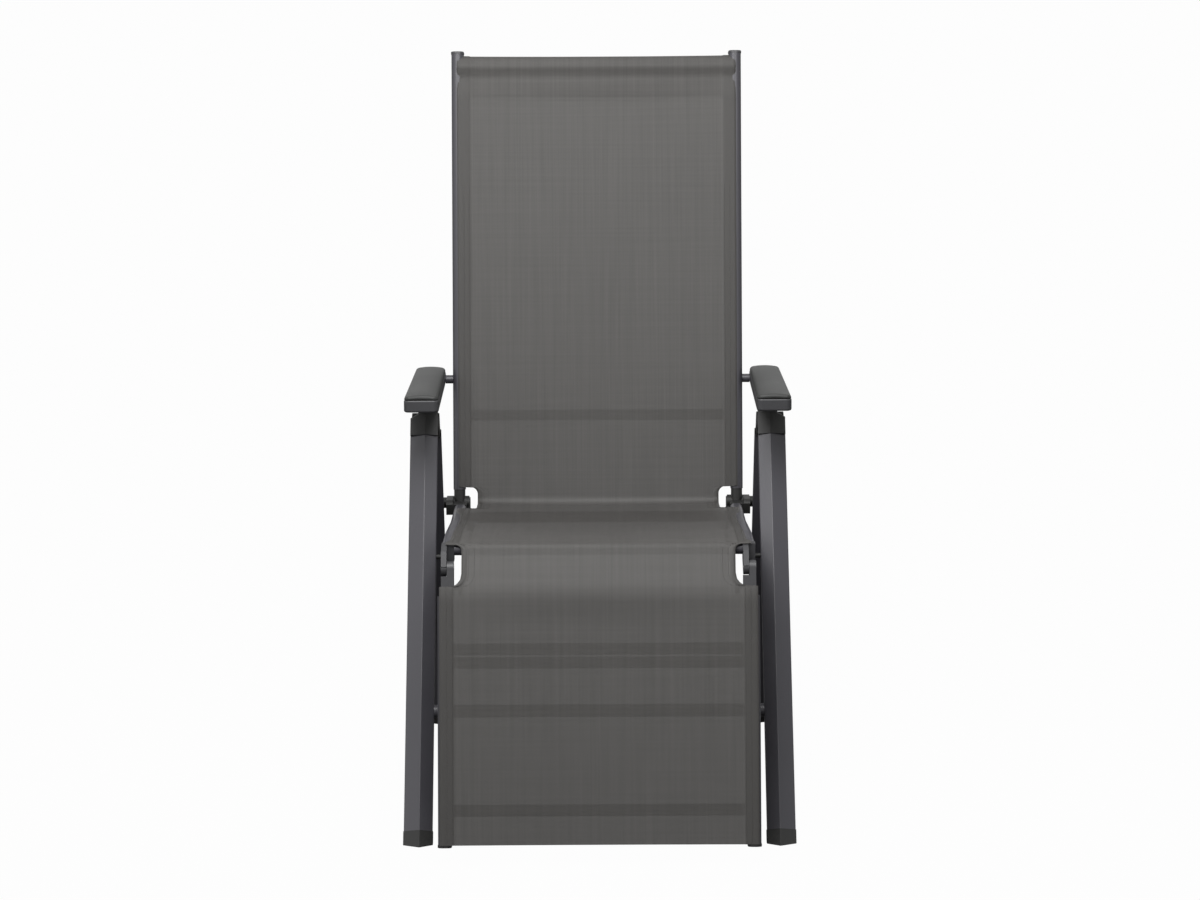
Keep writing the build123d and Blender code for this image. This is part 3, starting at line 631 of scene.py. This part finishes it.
# The cloth is tauter over the front bar, between these depths and reaches
EDGE_TAUT, TAUT_GROWS, TAUT_ENDS = 0.0033, (0.210, 0.235), (0.02, 0.09)
WRAP_ENDS = (0.215, 0.250)
foot_line, foot_length = rounded_line(*zip(*front_guide), pace=FINE_PACE)
foot_notch = (place_of(foot_length, foot_line[:, 0] - DY - FOOT_NOTCH_DEPTH),
              place_of(foot_length, (foot_line - FOOT_PIVOT) @ DOWN_FOOT - FOOT_NOTCH_REACH))
foot_line, foot_length = rounded_line(*zip(*front_guide), cuts=foot_notch)
down = (foot_line - FOOT_PIVOT) @ DOWN_FOOT
foot_depth = foot_line[:, 0] - DY
foot_half = cut_out(foot_length, *foot_notch, (CLOTH_HALF, FOOT_SLIM, FOOT_HALF), FOOT_NOTCH_RADII)
foot_sag = SAG - EDGE_TAUT * smooth(-foot_depth, *TAUT_GROWS) * (1 - smooth(down, *TAUT_ENDS))
edge_drop = SEAT_WRAP * (1 - smooth(-foot_depth, *WRAP_ENDS)) * (down < 0)
foot_table, foot_uv = cloth_surface(foot_line, foot_length + back_length[-1], foot_half, foot_sag,
                                    edge_drop, hem_widths(foot_length, *foot_notch))
foot_cloth = make_cloth("sling_footrest", foot_table, foot_uv)
print("cut length", round(foot_length[-1], 3), "m")

# %% [markdown]
# ## Stitching
# Two rows of stitches hold each side hem, eleven and about twenty millimetres from the
# edge. A drawn line would look flat from close by, so every stitch is a small spindle of
# thread lying on the cloth: a ring of four points between two tips.

# %% Stitches
STITCH_PACE, STITCH_HALF, STITCH_THICK = 0.0044, 0.0015, 0.00042
STITCH_ROWS = (0.0110, 0.0195)


def surface_run(table, half_widths, inset, side):
    """The line on a cloth at one distance from its edge, as points from row to row."""
    points = []
    for row, half in zip(table, half_widths):
        x = side * (half - inset)
        points.append((x, np.interp(x, row[:, 0], row[:, 1]), np.interp(x, row[:, 0], row[:, 2])))
    return np.array(points)


def stitch_run(run, rise):
    """Points and faces of the spindles along a line, each lifted towards the sitter."""
    steps = steps_along(run)
    points, faces = [], []
    for middle in np.arange(STITCH_PACE, steps[-1] - STITCH_PACE, STITCH_PACE):
        tail, head = (np.array([np.interp(middle + end, steps, run[:, k]) for k in range(3)])
                      for end in (-STITCH_HALF, STITCH_HALF))
        row = min(int(np.searchsorted(steps, middle)), len(rise) - 1)
        up = np.array([0.0, *rise[row]])
        side = np.array([1.0, 0.0, 0.0])
        centre = (tail + head) / 2 + up * STITCH_THICK
        base = len(points)
        points += [tail, head, centre + side * STITCH_THICK, centre + up * STITCH_THICK,
                   centre - side * STITCH_THICK, centre - up * STITCH_THICK]
        ring = (2, 3, 4, 5)
        for here, there in zip(ring, ring[1:] + ring[:1]):
            faces += [(base, base + there, base + here), (base + 1, base + here, base + there)]
    return points, faces


def stitching(name, table, half_widths, line):
    points, faces = [], []
    rise = normals_of(line)
    for side in (-1, 1):
        for inset in STITCH_ROWS:
            more, sides = stitch_run(surface_run(table, half_widths, inset, side), rise)
            faces += [tuple(len(points) + i for i in face) for face in sides]
            points += more
    return make_piece(name, points, faces, {}, thread)


first = int(np.searchsorted(back_length, STITCH_START))
back_stitches = stitching("stitches_back_and_seat", back_table[first:], back_half[first:], back_line[first:])
foot_stitches = stitching("stitches_footrest", foot_table, foot_half, foot_line)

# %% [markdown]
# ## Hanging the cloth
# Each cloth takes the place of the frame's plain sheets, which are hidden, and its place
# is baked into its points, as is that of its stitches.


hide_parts("back_sling", "seat_sling")
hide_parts("footrest_sling")
for piece in (back_cloth, back_stitches):
    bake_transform(piece)
for piece in (foot_cloth, foot_stitches):
    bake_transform(piece)
print("hung", back_cloth.name, "and", foot_cloth.name)

# %% [markdown]
# ## Flat sizes
# Someone who cuts new cloth needs the flat size of each piece. Its width is twice its
# half width, its length is the length of the side line, and the notches take a little
# off its area, so the area is measured on the drawn cloth.

# %% Flat sizes
def flat_area(table):
    across = table[1:, :-1] - table[:-1, :-1]
    over = table[:-1, 1:] - table[:-1, :-1]
    return float(np.linalg.norm(np.cross(across, over), axis=2).sum())


for cloth, table, cut, tubes in (
        (back_cloth, back_table, (2 * CLOTH_HALF, back_length[-1]), ["back_tube_left", "back_tube_right"]),
        (foot_cloth, foot_table, (2 * FOOT_HALF, foot_length[-1]),
         ["footrest_tube_left", "footrest_tube_right"])):
    area = min(flat_area(table), cut[0] * cut[1])
    print(cloth.name, "flat", [round(float(c), 3) for c in cut], "area", round(area, 4))

# %% [markdown]
# ## Armrest pads
# Each armrest carries a firm moulded pad. Its top is crowned both ways and its rim is
# rounded, so the soft light draws a bright line along it. A rounded box would have a flat
# top, so the pad is a grid of heights, drawn in the plane of the armrest, which falls a
# little towards the rear, and then set on the hard body.

# %% Armrest pads
ARM_SLOPE = radians(4.2)
ARM_PIVOT_DEPTH, ARM_PIVOT_HEIGHT = 0.27347, 0.60470
ARM_TOP = 0.0125
ARM_FRONT, ARM_REAR = -0.3294, 0.0134
ARM_OUTER, ARM_INNER_FRONT, ARM_INNER_REAR = 0.3019, 0.2486, 0.2531
PAD_CORNER, PAD_RIM, PAD_HEIGHT, PAD_CROWN = 0.0085, 0.0038, 0.0048, 0.0045
# The crown falls by this share at both ends, and the higher the power, the nearer to them
PAD_FALL, PAD_FALL_POWER = 0.45, 8
PAD_ROWS, PAD_COLUMNS = 40, 14
RIM_STEPS = np.array((0.0, 0.0003, 0.0009, 0.0018, 0.0030, 0.0055, 0.009))


def inset_places(low, high, inner):
    """Places across a width that crowd towards both ends."""
    middle = np.linspace(low + RIM_STEPS[-1], high - RIM_STEPS[-1], inner)[1:-1]
    return np.r_[low + RIM_STEPS, middle, high - RIM_STEPS[::-1]]


def pad_points(side):
    """A grid over the pad in its own plane: across, along and above."""
    rows = []
    for along in inset_places(ARM_FRONT, ARM_REAR, PAD_ROWS):
        share = (along - ARM_FRONT) / (ARM_REAR - ARM_FRONT)
        inner = ARM_INNER_FRONT + (ARM_INNER_REAR - ARM_INNER_FRONT) * share
        from_end = min(along - ARM_FRONT, ARM_REAR - along)
        pull = rounded_drop(np.array(from_end), PAD_CORNER)
        x = inset_places(inner + pull, ARM_OUTER - pull, PAD_COLUMNS)
        middle, half = (inner + ARM_OUTER) / 2, (ARM_OUTER - inner) / 2
        fall = 1 - PAD_FALL * abs(2 * share - 1) ** PAD_FALL_POWER
        crown = PAD_CROWN * (1 - ((x - middle) / half) ** 2) * fall
        rim = np.minimum(np.minimum(x - x[0], x[-1] - x), from_end)
        top = PAD_HEIGHT + crown - rounded_drop(rim, PAD_RIM)
        rows.append(np.c_[side * x, np.full(len(x), along), top])
    return np.array(rows)


def pad_piece(name, side):
    """The crowned top and its skirt, which goes down to the hard body."""
    grid = pad_points(side)
    rows, columns = grid.shape[:2]
    faces = grid_faces(rows, columns)
    index = np.arange(rows * columns).reshape(rows, columns)
    rim = np.r_[index[0], index[1:, -1], index[-1, -2::-1], index[-2:0:-1, 0]]
    points = grid.reshape(-1, 3)
    skirt = points[rim] * [1, 1, 0]
    below = len(points) + np.arange(len(rim))
    ahead = np.roll(np.arange(len(rim)), -1)
    faces += [(rim[k], below[k], below[ahead[k]], rim[ahead[k]]) for k in range(len(rim))]
    faces.append(tuple(below[::-1]))
    points = np.r_[points, skirt]
    if side > 0:
        faces = [tuple(reversed(face)) for face in faces]
    pivot = np.array([ARM_PIVOT_DEPTH + DY, ARM_PIVOT_HEIGHT])
    rear, up = np.array([cos(ARM_SLOPE), -sin(ARM_SLOPE)]), np.array([sin(ARM_SLOPE), cos(ARM_SLOPE)])
    in_side = pivot + points[:, 1:2] * rear + (points[:, 2:3] + ARM_TOP) * up
    faces = [tuple(int(i) for i in face) for face in faces]
    return make_piece(name, np.c_[points[:, 0], in_side], faces, {}, arm_grip)


for side_name, side in (("left", -1), ("right", 1)):
    pad = pad_piece("armrest_pad_" + side_name, side)
    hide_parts("arm_pad_" + side_name)
    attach(pad, "armrest_" + side_name)

# %% [markdown]
# ## Floor
# A plain pale floor that reaches far behind the chair, so that it fills the picture. Seen by
# the camera it is nearly plain white paper, and to the light it is an ordinary pale floor.
# The small part of it that isn't paper keeps a trace of the chair's shadow.

# %% Floor
NEAR, FAR = -40, 60
PAPER = 0.98
FLOOR_GREY, FLOOR_ROUGH = 0.25, 0.9
floor_mesh = bpy.data.meshes.new("floor")
floor_corners = [(NEAR, NEAR, 0), (-NEAR, NEAR, 0), (-NEAR, FAR, 0), (NEAR, FAR, 0)]
floor_mesh.from_pydata(floor_corners, [], [(0, 1, 2, 3)])
floor = bpy.data.objects.new("floor", floor_mesh)
scene.collection.objects.link(floor)
pale = Finish("pale_floor")
pale.set(Base_Color=(*(FLOOR_GREY,) * 3, 1), Roughness=FLOOR_ROUGH)
paper = pale.node("ShaderNodeEmission", None, {"Color": WHITE})
share = pale.node("ShaderNodeLightPath") * PAPER
laid = pale.mixed_shader(share, Field(pale, pale.shader.outputs[0]), paper)
pale.join(pale.tree.nodes["Material Output"].inputs["Surface"], laid)
floor_mesh.materials.append(pale.material)
print("floor from", NEAR, "to", FAR, "m")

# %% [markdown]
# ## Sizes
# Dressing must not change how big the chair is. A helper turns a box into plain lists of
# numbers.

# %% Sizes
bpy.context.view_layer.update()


def plain(box):
    return [[float(v) for v in corner] for corner in box]
